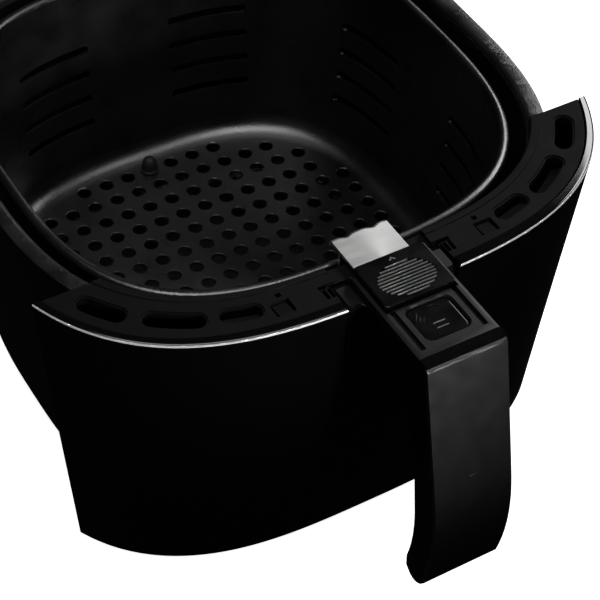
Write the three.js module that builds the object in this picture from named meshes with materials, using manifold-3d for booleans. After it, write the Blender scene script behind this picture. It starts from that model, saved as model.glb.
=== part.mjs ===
// Drawer of an air fryer: an outer pan with its front panel, and a lift-out basket
// with a handle, a sliding guard over the release button and a sprung latch.
// Millimetres. Origin: centre of the pan's underside. +Z up, -Y is the front, +X right.
import * as THREE from "three";
import { mergeVertices } from "three/addons/utils/BufferGeometryUtils.js";
import Module from "manifold-3d";

const wasm = await Module();
wasm.setup();

// ---- driving dimensions ----
const GAP = 0.3; // left between pieces that touch
const RING_STEPS = 52; // steps round each rounded-square ring
const HOLE_SIDES = 5;

const PITCH = 13.5; // hole grid of the basket floor
const HOLE_R = 3.6;
const FLOOR_Z = 40.5; // top of the basket floor
const RIM_Z = 160.5; // top of the basket's rolled rim
const RIM_HALF = 120.5; // half width to the middle of the rolled rim
const BEAD_R = 2.5;
const BASKET_WALL = 1.5;

const PAN_WALL = 2;
const PAN_MOUTH_HALF = 130.3;
const FLANGE_HALF = 138.5;
const FLANGE_Z = 164.3;

const TRIM_TOP = 170;
const TRIM_BASE = 165;
const TRIM_INNER = 126;
const ENDS_Y = -88.5; // the front panel and trim stop here on both sides
const NOTCH_HALF = 29; // notch that the handle drops into
const NOTCH_Z = 140;
const NOTCH_Y = -138.8;
const SHELF_Z = 167;

const PANEL_HALF = 158.6;
const PANEL_WALL = 3;
const PANEL_FOOT_HALF = 148;
const PANEL_FOOT_DEPTH = 141;

const HANDLE_HALF = 20.5;
const HANDLE_TOP = 174;
const HANDLE_FLOOR = 145; // underside of the handle's arm
const HANDLE_BACK_Y = -140;
const BEZEL_FRONT_Y = -200.5;
const BEZEL_BACK_Y = -171;
const BEZEL_BASE = 170;

const COVER_HALF = 18.4;
const COVER_Y = [-170.1, -141.8];
const COVER_Z = [174.4, 176.6];
const COVER_RIB_TOP = 177.1;
const GROOVE_X = 15.9;
const GROOVE_W = 2.7;
const GROOVE_FRONT_Y = -196.6;

const BUTTON_Y = -183.1;
const OPENING_HALF = [11.5, 10.6];
const BUTTON_TOP = 172.6;

const PLATE_HALF = 14.6; // stainless bracket
const PLATE_Z = [169.3, 171];

const PIVOT = { y: -147, z: 158, r: 1.5 }; // of the latch lever

// ---- materials ----
const paint = (color, roughness, metalness) => new THREE.MeshStandardMaterial({ color, roughness, metalness });
const NONSTICK = paint(0x1d1d1e, 0.55, 0.3);
const GLOSS = paint(0x050505, 0.12, 0);
const MATTE = paint(0x191919, 0.6, 0);
const SATIN = paint(0x2c2c2c, 0.4, 0);
const STEEL = paint(0x9a9a98, 0.3, 0.9);
const SILICONE = paint(0x0b0b0b, 0.75, 0);

// ---- solids ----
function solid(geometry) {
  const g = geometry.clone();
  g.deleteAttribute("normal");
  g.deleteAttribute("uv");
  const merged = mergeVertices(g, 1e-4);
  const ids = merged.index.array;
  const kept = [];
  for (let i = 0; i < ids.length; i += 3) {
    const [a, b, c] = [ids[i], ids[i + 1], ids[i + 2]];
    if (a !== b && b !== c && c !== a) kept.push(a, b, c);
  }
  return new wasm.Manifold(new wasm.Mesh({
    numProp: 3,
    vertProperties: new Float32Array(merged.attributes.position.array),
    triVerts: new Uint32Array(kept),
  }));
}

function box([x0, x1], [y0, y1], [z0, z1]) {
  const g = new THREE.BoxGeometry(x1 - x0, y1 - y0, z1 - z0);
  return solid(g.translate((x0 + x1) / 2, (y0 + y1) / 2, (z0 + z1) / 2));
}

// Cylinder from a point, along an axis.
function rod(from, axis, length, radius, sides = 12) {
  const g = new THREE.CylinderGeometry(radius, radius, length, sides);
  g.translate(0, length / 2, 0);
  const turn = new THREE.Quaternion().setFromUnitVectors(new THREE.Vector3(0, 1, 0), new THREE.Vector3(...axis));
  return solid(g.applyQuaternion(turn).translate(...from));
}

// Outline in X and Y, extruded from z0 to z1.
function plan(shape, [z0, z1], curveSegments = 6) {
  const g = new THREE.ExtrudeGeometry(shape, { depth: z1 - z0, bevelEnabled: false, curveSegments });
  return solid(g.translate(0, 0, z0));
}

// Outline in Y and Z, extruded from x0 to x1.
function side(shape, [x0, x1], curveSegments = 6) {
  const g = new THREE.ExtrudeGeometry(shape, { depth: x1 - x0, bevelEnabled: false, curveSegments });
  const turn = new THREE.Matrix4().makeBasis(
    new THREE.Vector3(0, 1, 0), new THREE.Vector3(0, 0, 1), new THREE.Vector3(1, 0, 0));
  return solid(g.applyMatrix4(turn).translate(x0, 0, 0));
}

const outline = (points) => new THREE.Shape(points.map(([u, v]) => new THREE.Vector2(u, v)));

function roundedRect([x0, x1], [y0, y1], r) {
  const s = new THREE.Shape();
  s.moveTo(x0 + r, y0);
  s.lineTo(x1 - r, y0);
  s.absarc(x1 - r, y0 + r, r, -Math.PI / 2, 0);
  s.lineTo(x1, y1 - r);
  s.absarc(x1 - r, y1 - r, r, 0, Math.PI / 2);
  s.lineTo(x0 + r, y1);
  s.absarc(x0 + r, y1 - r, r, Math.PI / 2, Math.PI);
  s.lineTo(x0, y0 + r);
  s.absarc(x0 + r, y0 + r, r, Math.PI, 1.5 * Math.PI);
  return s;
}

// A profile of [half width, height] turned round Z, then pulled from a circle to a rounded
// square: a superellipse of the given power, with its depth scaled by the aspect.
function ring(profile, power = () => 3, aspect = () => 1, steps = RING_STEPS) {
  const g = new THREE.LatheGeometry(profile.map(([r, z]) => new THREE.Vector2(r, z)), steps);
  g.rotateX(Math.PI / 2);
  const p = g.attributes.position;
  for (let i = 0; i < p.count; i++) {
    const [x, y, z] = [p.getX(i), p.getY(i), p.getZ(i)];
    const n = power(z);
    const c = Math.abs(Math.cos(Math.atan2(y, x)));
    const s = Math.abs(Math.sin(Math.atan2(y, x)));
    const stretch = (c ** n + s ** n) ** (-1 / n);
    p.setXYZ(i, x * stretch, y * stretch * aspect(z), z);
  }
  return solid(g);
}

function lathe(profile, at, sides = 12) {
  const g = new THREE.LatheGeometry(profile.map(([r, z]) => new THREE.Vector2(r, z)), sides);
  return solid(g.rotateX(Math.PI / 2).translate(...at));
}

const mix = (a, b, t) => a + (b - a) * t;

// ---- shared curves ----
const basketPower = (z) => mix(2.9, 2.95, Math.min(1, Math.max(0, (z - FLOOR_Z) / (RIM_Z - FLOOR_Z))));
const basketHalf = (z) => mix(111, RIM_HALF - BEAD_R, (z - 52) / (RIM_Z - BEAD_R - 52));
const panHalf = (z) => mix(119, PAN_MOUTH_HALF + 1.5, (z - 13) / (FLANGE_Z - 13));
const panelHalf = (z) => mix(PANEL_FOOT_HALF, PANEL_HALF, z / TRIM_TOP);
const panelAspect = (z) => mix(PANEL_FOOT_DEPTH / PANEL_FOOT_HALF, 1, z / TRIM_TOP);

// ---- pan ----
const REST = { at: 93.8, r: 18.6, z: 26 }; // pressed dimples in the corners, which hold the basket up

const PAN_FOOT = [[106, 0], [115, 4], [119, 13]]; // half-width and height along the rounded foot

// The pan's outside up to the height given, grown by the gap, for cutting its neighbours.
function panWithGap(gap, top) {
  const foot = PAN_FOOT.map(([half, z]) => [half + gap, z]);
  return ring([[0, -1], [foot[0][0], -1], ...foot, [panHalf(top) + gap, top], [0, top]]);
}

function outerPan() {
  const under = FLANGE_Z - PAN_WALL;
  const outer = [[0, 0], ...PAN_FOOT, [panHalf(under), under], [FLANGE_HALF, under],
    [FLANGE_HALF, FLANGE_Z], [0, FLANGE_Z]];
  const inner = [[0, PAN_WALL], [105, PAN_WALL], [113, 6], [117, 14], [panHalf(under) - PAN_WALL, under],
    [PAN_MOUTH_HALF, FLANGE_Z], [PAN_MOUTH_HALF, FLANGE_Z + 1], [0, FLANGE_Z + 1]];
  let hollow = ring(inner);
  let pan = ring(outer);
  const dimples = [];
  for (const sx of [-1, 1]) {
    for (const sy of [-1, 1]) {
      const ball = (r) => solid(new THREE.SphereGeometry(r, 10, 8).translate(sx * REST.at, sy * REST.at, REST.z));
      hollow = hollow.subtract(ball(REST.r));
      dimples.push(ball(REST.r - PAN_WALL));
    }
  }
  pan = pan.subtract(hollow);
  for (const d of dimples) pan = pan.subtract(d);
  for (const [x, y] of TRIM_SCREWS) pan = pan.subtract(rod([x, y, 150], [0, 0, 1], 20, SCREW.shank + GAP, 8));
  for (const sx of [-1, 1]) {
    pan = pan.subtract(rod([sx * KEEPER.screwX, -120, KEEPER.screwZ], [0, -1, 0], 20, SCREW.shank + GAP, 8));
  }
  return pan;
}

const SCREW = { head: 3.2, headH: 2, shank: 1.5 };
const SCREW_RING = 135.4;
const onTrim = (x) => [x, -SCREW_RING * (1 - Math.abs(x / SCREW_RING) ** 3) ** (1 / 3)];
const TRIM_SCREWS = [onTrim(-112), onTrim(-60), onTrim(60), onTrim(112)];

// A screw whose head stands on the point and whose shank runs along the axis.
function screw(at, axis, length, head = SCREW.head) {
  const d = new THREE.Vector3(...axis);
  const start = new THREE.Vector3(...at).addScaledVector(d, -SCREW.headH);
  return rod(start.toArray(), axis, SCREW.headH, head, 10).add(
    rod(start.toArray(), axis, SCREW.headH + length, SCREW.shank, 10));
}

// ---- front panel and trim ----
const front = (y) => box([-200, 200], [-250, y], [-5, 200]);

const FOOT_FLANGE = { z: [4, 6.5], width: 14 };

const END_WALL = { thickness: 2.5, z: [4, 157.5], gap: 0.6 };

// Walls that close both ends of the space between the panel and the pan.
function panelEnds() {
  const [z0, z1] = END_WALL.z;
  const filled = ring([[0, z0], [panelHalf(z0) - 1, z0], [panelHalf(z1) - 1, z1], [0, z1]], undefined, panelAspect);
  const wall = box([-200, 200], [ENDS_Y - END_WALL.thickness, ENDS_Y], END_WALL.z);
  return filled.subtract(panWithGap(END_WALL.gap, FLANGE_Z)).intersect(wall);
}

function frontPanel() {
  const top = TRIM_TOP - 1;
  const [f0, f1] = FOOT_FLANGE.z;
  const flangeEdge = panelHalf(0) - FOOT_FLANGE.width;
  const shell = [[flangeEdge, f0], [panelHalf(0) - PANEL_WALL, f0], [panelHalf(0) - PANEL_WALL, 0],
    [panelHalf(0) - 1, 0], [panelHalf(1), 1], [panelHalf(top), top], [panelHalf(TRIM_TOP) - 1, TRIM_TOP],
    [panelHalf(top) - PANEL_WALL, TRIM_TOP], [panelHalf(f1) - PANEL_WALL, f1], [flangeEdge, f1],
    [flangeEdge, f0]];
  let panel = ring(shell, undefined, panelAspect);
  panel = panel.intersect(front(ENDS_Y)).add(panelEnds());
  panel = panel.subtract(box([-NOTCH_HALF, NOTCH_HALF], [-175, -120], [NOTCH_Z, 180]));
  for (const sx of [-1, 1]) {
    panel = panel.subtract(rod([sx * PANEL_SCREW.x, PANEL_SCREW.y, -1], [0, 0, 1], 9, SCREW.shank + GAP, 8));
  }
  return panel;
}

// Long vents follow the trim's curve: [x, y, length].
const VENTS = [[123.4, -105.4, 23.6], [98.6, -126.4, 28], [71.1, -136.6, 19.5]];
const VENT_WIDTH = 8.5;
const WINDOW = { x: 53.5, y: -143.4, size: [10, 8] };
const RIB_POCKET = { x: [24.2, 36], y: [-148.5, -141] };

function slot(x, y, length, width, angle, [z0, z1]) {
  const half = length / 2 - width / 2;
  const s = new THREE.Shape();
  s.moveTo(-half, -width / 2);
  s.lineTo(half, -width / 2);
  s.absarc(half, 0, width / 2, -Math.PI / 2, Math.PI / 2);
  s.lineTo(-half, width / 2);
  s.absarc(-half, 0, width / 2, Math.PI / 2, 1.5 * Math.PI);
  const g = new THREE.ExtrudeGeometry(s, { depth: z1 - z0, bevelEnabled: false, curveSegments: 5 });
  return solid(g.rotateZ(angle).translate(x, y, z0));
}

function topTrim() {
  const inside = panelHalf(TRIM_TOP - 4) - PANEL_WALL - 0.6;
  let trim = ring([[TRIM_INNER, TRIM_BASE], [inside - 5, TRIM_BASE], [inside - 5, 158], [inside - 3, 158],
    [inside, TRIM_TOP - 1], [inside - 1, TRIM_TOP], [TRIM_INNER + 3, TRIM_TOP], [TRIM_INNER, TRIM_TOP - 1.5],
    [TRIM_INNER, TRIM_BASE]], undefined, panelAspect);
  trim = trim.intersect(front(ENDS_Y));
  trim = trim.subtract(box([-NOTCH_HALF, NOTCH_HALF], [-200, NOTCH_Y], [100, 200]));
  trim = trim.subtract(box([-NOTCH_HALF, NOTCH_HALF], [-200, -100], [SHELF_Z, 200]));
  trim = trim.subtract(box([-PLATE_HALF - 1, PLATE_HALF + 1], [-127.4, -100], [100, 200]));
  for (const sx of [-1, 1]) {
    for (const [x, y, length] of VENTS) {
      const angle = Math.atan2(x * x, y * y) * sx;
      trim = trim.subtract(slot(sx * x, y, length, VENT_WIDTH, angle, [150, 180]));
    }
    const [w, h] = WINDOW.size;
    trim = trim.subtract(box([sx * WINDOW.x - w / 2, sx * WINDOW.x + w / 2],
      [WINDOW.y - h / 2, WINDOW.y + h / 2], [150, 180]));
    const [near, far] = RIB_POCKET.x;
    const span = sx > 0 ? [near, far] : [-far, -near];
    trim = trim.subtract(box(span, RIB_POCKET.y, [SHELF_Z, 180]));
  }
  for (const [x, y] of TRIM_SCREWS) trim = trim.subtract(rod([x, y, 160], [0, 0, 1], 8.4, SCREW.shank + GAP, 8));
  return trim;
}

const PANEL_SCREW = { x: 58, y: -128 };

// Angle welded low on the pan's front; the panel's lower flange is screwed to it.
const BRACKET_TOP = 28;

function panelBracket(sx) {
  const foot = FOOT_FLANGE.z[1] + GAP;
  const profile = outline([[PANEL_SCREW.y - 5, foot], [-112, foot], [-112, BRACKET_TOP], [-119, BRACKET_TOP],
    [-119, foot + 1.8], [PANEL_SCREW.y - 5, foot + 1.8]]);
  const x = sx * PANEL_SCREW.x;
  const bracket = side(profile, [x - 9, x + 9]).subtract(
    rod([x, PANEL_SCREW.y, 0], [0, 0, 1], 14, SCREW.shank + GAP, 8));
  return bracket.subtract(panWithGap(0.4, BRACKET_TOP + 2));
}

const KEEPER = {
  half: 12,
  base: 126,
  top: 158.5,
  lipY: [-150.4, -147.2],
  lipZ: [137.2, 139.2],
  screwX: 8,
  screwZ: 154,
  wallY: -132.6,
  thickness: 1.5,
};

// Steel catch on the pan's front wall; its lip stands over the latch's nose.
function latchKeeper() {
  const { base, top, lipY, lipZ, wallY, thickness: t } = KEEPER;
  const profile = outline([[wallY, top], [wallY, base], [lipY[0], base], [lipY[0], lipZ[1]],
    [lipY[1], lipZ[1]], [lipY[1], lipZ[0]], [lipY[0] + t, lipZ[0]], [lipY[0] + t, base + t],
    [wallY - t, base + t], [wallY - t, top]]);
  let keeper = side(profile, [-KEEPER.half, KEEPER.half]);
  for (const sx of [-1, 1]) {
    keeper = keeper.subtract(rod([sx * KEEPER.screwX, -125, KEEPER.screwZ], [0, -1, 0], 20, SCREW.shank + GAP, 8));
  }
  return keeper;
}

// ---- basket ----
const FLOOR_REACH = [7, 7, 7, 7, 6, 6, 5, 3]; // columns of holes each side of the middle, by row
const WALL_SLOT = { levels: [73, 89, 105, 121], from: 24, to: 68, height: 5 };
const PEG_Y = 7 * PITCH;

function basketShell() {
  const t = BASKET_WALL;
  const beadZ = RIM_Z - BEAD_R;
  const wallTop = RIM_HALF - BEAD_R;
  const profile = [[0, FLOOR_Z - t], [104, FLOOR_Z - t], [109, 42], [basketHalf(52) + t, 52],
    [basketHalf(beadZ - 4) + t, beadZ - 4], [RIM_HALF + BEAD_R, beadZ - 2], [RIM_HALF + BEAD_R, beadZ + 1],
    [RIM_HALF, RIM_Z], [wallTop, beadZ], [basketHalf(52), 52], [107.5, 44], [103.3, FLOOR_Z], [0, FLOOR_Z]];
  return ring(profile, basketPower);
}

// A prism through the floor for each hole, all in one go.
function floorHoles() {
  const holes = [];
  for (let row = -7; row <= 7; row++) {
    const reach = FLOOR_REACH[Math.abs(row)];
    for (let col = -reach; col <= reach; col++) {
      const peg = Math.abs(row) === 7 && col === 0;
      if (!peg) holes.push(rod([col * PITCH, row * PITCH, FLOOR_Z - 5], [0, 0, 1], 10, HOLE_R, HOLE_SIDES));
    }
  }
  return wasm.Manifold.union(holes);
}

function wallSlots() {
  const cuts = [];
  for (const z of WALL_SLOT.levels) {
    for (const s of [-1, 1]) {
      const along = s > 0 ? [WALL_SLOT.from, WALL_SLOT.to] : [-WALL_SLOT.to, -WALL_SLOT.from];
      const band = [z - WALL_SLOT.height / 2, z + WALL_SLOT.height / 2];
      for (const [a, b] of [[-130, -90], [90, 130]]) {
        cuts.push(box(along, [a, b], band));
        cuts.push(box([a, b], along, band));
      }
    }
  }
  return wasm.Manifold.union(cuts);
}

function basket() {
  let shell = basketShell().subtract(floorHoles()).subtract(wallSlots());
  for (const sy of [-1, 1]) shell = shell.subtract(rod([0, sy * PEG_Y, FLOOR_Z - 5], [0, 0, 1], 10, 3.9, 8));
  for (const sx of [-1, 1]) shell = shell.subtract(rivetHole(sx));
  return shell;
}

// Silicone stud through the basket floor: pad below, knob above.
function bumper(sy) {
  return lathe([[0, 35.5], [6, 35.5], [6.5, 38.6], [3.5, 38.6], [3.5, 40.9], [5, 40.9], [5, 42],
    [4.2, 42.4], [4.2, 46], [2.6, 49.5], [0, 49.5]], [0, sy * PEG_Y, 0]);
}

// ---- basket bracket ----
const RIVET = { x: 9, z: 132, head: 3.2, shank: 1.6 };
const rivetHole = (sx) => rod([sx * RIVET.x, -100, RIVET.z], [0, -1, 0], 30, RIVET.shank + GAP, 8);

function bracketRivet(sx) {
  const wall = basketHalf(RIVET.z);
  const x = sx * RIVET.x;
  const inner = rod([x, -(wall - 2), RIVET.z], [0, -1, 0], 1.4, RIVET.head, 10);
  const outer = rod([x, -(wall + 4.6), RIVET.z], [0, -1, 0], 1.4, RIVET.head, 10);
  return inner.add(outer).add(rod([x, -(wall - 2), RIVET.z], [0, -1, 0], 7, RIVET.shank, 10));
}

// Stainless plate: hooks over the basket's rim, runs out under the guard, with a leg on the wall.
function basketBracket() {
  const [z0, z1] = PLATE_Z;
  const t = 1.5;
  const plate = side(outline([[-168, z0], [-124.6, z0], [-117.2, z0 - 0.2], [-116, z0 - 2.6], [-114.6, z0 - 2.4],
    [-116, z1 - 0.4], [-118, z1], [-168, z1]]), [-PLATE_HALF, PLATE_HALF]);
  const wall = (z) => -(basketHalf(z) + BASKET_WALL + 0.6);
  const leg = side(outline([[-126, z0 + 0.5], [-126, 156], [wall(144) - t, 144], [wall(118) - t, 118],
    [wall(118), 118], [wall(144), 144], [-124.6, 156.4], [-124.6, z0 + 0.5]]), [-PLATE_HALF, PLATE_HALF]);
  let bracket = plate.add(leg);
  for (const sx of [-1, 1]) {
    bracket = bracket.subtract(rivetHole(sx));
    bracket = bracket.subtract(rod([sx * BRACKET_SCREW.x, BRACKET_SCREW.y, 160], [0, 0, 1], 20, SCREW.shank + GAP, 8));
  }
  return bracket;
}

const BRACKET_SCREW = { x: 10.5, y: -159 };

// ---- handle ----
const CAVITY = { floor: 148.5, half: 13, y: [-197, -170.6] }; // button well
const LEVER_SLOT = { half: 6, y: [-172, -139], mouth: -152 };

// Wider foot of the handle, which fills the front panel's notch.
const BLOCK = { y: [-157.5, HANDLE_BACK_Y], z: [141.2, 166] };

// Outline of the handle seen from the side, its front face moved back by the inset.
function handleOutline(inset) {
  const s = new THREE.Shape();
  s.moveTo(-206.5 + inset, 173.5);
  s.lineTo(-223 + inset, 100);
  s.quadraticCurveTo(-229.5 + inset, 71, -221 + inset, 40);
  s.quadraticCurveTo(-213, 29, -205, 41);
  s.quadraticCurveTo(-211.5, 62, -208, 84);
  s.lineTo(-205, 106);
  s.bezierCurveTo(-203, 128, -191, 144, -172, HANDLE_FLOOR);
  s.lineTo(-160, HANDLE_FLOOR);
  s.lineTo(BLOCK.y[0], BLOCK.z[0]);
  s.lineTo(HANDLE_BACK_Y, BLOCK.z[0]);
  s.lineTo(HANDLE_BACK_Y, PLATE_Z[0] - GAP);
  s.lineTo(BEZEL_BACK_Y - 1.4, PLATE_Z[0] - GAP);
  s.lineTo(BEZEL_BACK_Y - 1.6, BEZEL_BASE - GAP);
  s.lineTo(BEZEL_FRONT_Y - GAP, BEZEL_BASE - GAP);
  s.lineTo(BEZEL_FRONT_Y - GAP, HANDLE_TOP);
  return s;
}

const COVER_PLATE = 2.5;
const GRIP_SCREWS = [104, 82];

function handleShell() {
  let shell = side(handleOutline(COVER_PLATE + GAP), [-HANDLE_HALF, HANDLE_HALF]);
  const foot = box([-NOTCH_HALF + 1, NOTCH_HALF - 1], BLOCK.y, BLOCK.z);
  shell = shell.add(foot);
  const hollow = new THREE.Shape();
  hollow.moveTo(-240, 138);
  hollow.lineTo(-205.5, 138);
  hollow.lineTo(-209.3, 106);
  hollow.quadraticCurveTo(-215.5, 72, -210.5, 52);
  hollow.lineTo(-240, 52);
  shell = shell.subtract(side(hollow, [-HANDLE_HALF + 3, HANDLE_HALF - 3]));
  shell = shell.subtract(box([-CAVITY.half, CAVITY.half], CAVITY.y, [CAVITY.floor, 180]));
  shell = shell.subtract(box([-LEVER_SLOT.half, LEVER_SLOT.half], LEVER_SLOT.y, [CAVITY.floor, 180]));
  shell = shell.subtract(box([-LEVER_SLOT.half, LEVER_SLOT.half], [LEVER_SLOT.mouth, LEVER_SLOT.y[1]], [130, 180]));
  shell = shell.subtract(rod([-10, PIVOT.y, PIVOT.z], [1, 0, 0], 20, PIVOT.r + GAP, 12));
  for (const sx of [-1, 1]) {
    shell = shell.subtract(rod([sx * BRACKET_SCREW.x, BRACKET_SCREW.y, 158], [0, 0, 1], 20, SCREW.shank + GAP, 8));
  }
  for (const z of GRIP_SCREWS) {
    shell = shell.subtract(rod([0, -190, z], [0, -1, 0], 30, SCREW.shank + GAP, 8));
    shell = shell.subtract(rod([0, -180, z], [0, -1, 0], gripBack(z) - 180 + 1.9, SCREW.head + GAP, 10));
  }
  return shell;
}

// How far in front of the origin the back of the grip is, at a height.
const gripBack = (z) => mix(208, 205, (z - 84) / 22);

function gripScrew(z) {
  return screw([0, -gripBack(z) - 1.5, z], [0, -1, 0], 9, SCREW.head);
}

function handleFrontCover() {
  const slab = side(handleOutline(0), [-HANDLE_HALF, HANDLE_HALF]).subtract(
    side(handleOutline(COVER_PLATE), [-30, 30])).intersect(box([-30, 30], [-240, -203.6], [42, 180]));
  const inside = side(handleOutline(1), [-10, 10]);
  let cover = slab;
  for (const z of GRIP_SCREWS) {
    const end = gripBack(z) + 5.4;
    cover = cover.add(rod([0, -end, z], [0, -1, 0], 30, 4, 10).intersect(inside));
    cover = cover.subtract(rod([0, -end + 1, z], [0, -1, 0], 8, SCREW.shank + GAP, 8));
  }
  return cover;
}

function handleBezel() {
  const top = HANDLE_TOP;
  let bezel = box([-HANDLE_HALF, HANDLE_HALF], [BEZEL_FRONT_Y, BEZEL_BACK_Y], [BEZEL_BASE, top]);
  const rail = outline([[BEZEL_BACK_Y - 1, PLATE_Z[0]], [-142, PLATE_Z[0]], [-142, top - 2], [-146, top],
    [BEZEL_BACK_Y - 1, top]]);
  bezel = bezel.add(side(rail, [COVER_HALF + 0.4, HANDLE_HALF])).add(side(rail, [-HANDLE_HALF, -COVER_HALF - 0.4]));
  const [hx, hy] = OPENING_HALF;
  const hole = roundedRect([-hx, hx], [BUTTON_Y - hy, BUTTON_Y + hy], 4);
  bezel = bezel.subtract(plan(hole, [160, 180], 4));
  for (const sx of [-1, 1]) {
    const x = sx * GROOVE_X;
    bezel = bezel.subtract(box([x - GROOVE_W / 2, x + GROOVE_W / 2], [GROOVE_FRONT_Y, -160], [BEZEL_BASE + 1.2, 180]));
  }
  return bezel;
}

const OVAL = { y: -157.5, half: [13.5, 9.5], ribs: 9 };

function slideCover() {
  let cover = plan(roundedRect([-COVER_HALF, COVER_HALF], COVER_Y, 2), COVER_Z, 3);
  for (const sx of [-1, 1]) {
    const x = sx * GROOVE_X;
    cover = cover.add(box([x - 1, x + 1], [-168, -156], [172, COVER_Z[0] + 1]));
  }
  const pitch = (2 * OVAL.half[1]) / OVAL.ribs;
  for (let i = 0; i < OVAL.ribs; i++) {
    const off = (i + 0.5) * pitch - OVAL.half[1];
    const reach = OVAL.half[0] * Math.sqrt(1 - (off / OVAL.half[1]) ** 2);
    cover = cover.add(box([-reach, reach], [OVAL.y + off - pitch / 4, OVAL.y + off + pitch / 4],
      [COVER_Z[0] + 1, COVER_RIB_TOP]));
  }
  return cover;
}

function releaseButton() {
  const [hx, hy] = [OPENING_HALF[0] - 0.4, OPENING_HALF[1] - 0.4];
  const cap = plan(roundedRect([-hx, hx], [BUTTON_Y - hy, BUTTON_Y + hy], 3.6), [168, BUTTON_TOP], 4);
  const skirt = box([-12.6, 12.6], [BUTTON_Y - 11.6, BUTTON_Y + 11.6], [166.5, 169.2]);
  const pusher = box([-3.5, 3.5], [-181, -177], [LEVER_TOP + GAP, 167]);
  const dish = solid(new THREE.SphereGeometry(14, 16, 10).translate(0, BUTTON_Y, BUTTON_TOP + 11.4));
  return cap.add(skirt).add(pusher).subtract(dish);
}

const SPRING = { y: -189.5, r: 3, wire: 0.5, z: [149.4, 165.6], turns: 5, steps: 50 };

class Helix extends THREE.Curve {
  getPoint(t, target = new THREE.Vector3()) {
    const a = 2 * Math.PI * SPRING.turns * t;
    return target.set(SPRING.r * Math.cos(a), SPRING.y + SPRING.r * Math.sin(a), mix(...SPRING.z, t));
  }
}

function buttonSpring() {
  const s = new THREE.Shape();
  s.absarc(0, 0, SPRING.wire, 0, 2 * Math.PI);
  return solid(new THREE.ExtrudeGeometry(s, { extrudePath: new Helix(), steps: SPRING.steps, curveSegments: 3 }));
}

const LEVER_TOP = 159.5;

function latchLever() {
  const arm = side(outline([[-182, 156.5], [-182, LEVER_TOP], [-172, LEVER_TOP], [-152, 161], [-142.6, 161], [-142.6, 132],
    [-146.9, 132], [-146.9, 133.5], [-145, 136.5], [-145, 155]]), [-4, 4]);
  const hub = rod([-4.6, PIVOT.y, PIVOT.z], [1, 0, 0], 9.2, 4.2, 12);
  return arm.add(hub).subtract(rod([-10, PIVOT.y, PIVOT.z], [1, 0, 0], 20, PIVOT.r + GAP, 12));
}

const latchPin = () => rod([-9, PIVOT.y, PIVOT.z], [1, 0, 0], 18, PIVOT.r, 12);

// ---- assembly ----
const drawer = new THREE.Group();

function add(name, made, material) {
  const m = made.getMesh();
  const g = new THREE.BufferGeometry();
  g.setAttribute("position", new THREE.BufferAttribute(new Float32Array(m.vertProperties), 3));
  g.setIndex(new THREE.BufferAttribute(new Uint32Array(m.triVerts), 1));
  g.computeVertexNormals();
  const mesh = new THREE.Mesh(g, material);
  mesh.name = name;
  drawer.add(mesh);
}

const SIDES = [["left", -1], ["right", 1]];

add("outer_pan", outerPan(), NONSTICK);
add("front_panel", frontPanel(), GLOSS);
add("top_trim", topTrim(), MATTE);
add("latch_keeper", latchKeeper(), STEEL);
TRIM_SCREWS.forEach(([x, y], i) => {
  add(`trim_screw_${i + 1}`, screw([x, y, FLANGE_Z - PAN_WALL - GAP], [0, 0, 1], 5.4, 2.4), STEEL);
});
for (const [name, sx] of SIDES) {
  add(`keeper_screw_${name}`, screw([sx * KEEPER.screwX, KEEPER.wallY - 2, KEEPER.screwZ], [0, 1, 0], 4), STEEL);
  add(`panel_bracket_${name}`, panelBracket(sx), STEEL);
  add(`panel_screw_${name}`, screw([sx * PANEL_SCREW.x, PANEL_SCREW.y, FOOT_FLANGE.z[0] - GAP], [0, 0, 1], 9), STEEL);
  add(`bracket_rivet_${name}`, bracketRivet(sx), STEEL);
  add(`bracket_screw_${name}`, screw([sx * BRACKET_SCREW.x, BRACKET_SCREW.y, PLATE_Z[1] + GAP], [0, 0, -1], 11), STEEL);
}
add("basket", basket(), NONSTICK);
add("bumper_front", bumper(-1), SILICONE);
add("bumper_rear", bumper(1), SILICONE);
add("basket_bracket", basketBracket(), STEEL);
add("handle_shell", handleShell(), GLOSS);
add("handle_front_cover", handleFrontCover(), SATIN);
add("handle_bezel", handleBezel(), SATIN);
add("grip_screw_upper", gripScrew(GRIP_SCREWS[0]), STEEL);
add("grip_screw_lower", gripScrew(GRIP_SCREWS[1]), STEEL);
add("slide_cover", slideCover(), MATTE);
add("release_button", releaseButton(), GLOSS);
add("button_spring", buttonSpring(), STEEL);
add("latch_lever", latchLever(), MATTE);
add("latch_pin", latchPin(), STEEL);

export default drawer;
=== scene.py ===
"""Air fryer drawer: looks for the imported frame. Lengths are in millimetres until a mesh is made."""
import math

import bmesh
import bpy
from mathutils import Matrix, Vector


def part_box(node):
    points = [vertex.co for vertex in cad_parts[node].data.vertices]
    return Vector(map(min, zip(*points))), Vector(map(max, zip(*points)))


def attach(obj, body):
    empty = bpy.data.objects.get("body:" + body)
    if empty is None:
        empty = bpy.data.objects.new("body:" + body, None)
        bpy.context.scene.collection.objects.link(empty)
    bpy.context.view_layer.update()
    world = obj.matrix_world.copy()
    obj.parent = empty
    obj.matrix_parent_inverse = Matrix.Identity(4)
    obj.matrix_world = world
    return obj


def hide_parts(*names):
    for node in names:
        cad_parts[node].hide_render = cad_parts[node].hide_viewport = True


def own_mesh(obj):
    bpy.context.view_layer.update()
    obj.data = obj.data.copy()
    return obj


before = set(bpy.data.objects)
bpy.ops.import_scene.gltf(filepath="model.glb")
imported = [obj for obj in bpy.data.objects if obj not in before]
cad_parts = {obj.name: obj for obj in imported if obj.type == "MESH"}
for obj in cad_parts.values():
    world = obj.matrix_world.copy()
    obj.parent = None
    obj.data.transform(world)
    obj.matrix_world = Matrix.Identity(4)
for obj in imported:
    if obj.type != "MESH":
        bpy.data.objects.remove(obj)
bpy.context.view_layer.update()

MM = 0.001
GAP = 0.3  # left between pieces that touch

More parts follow.
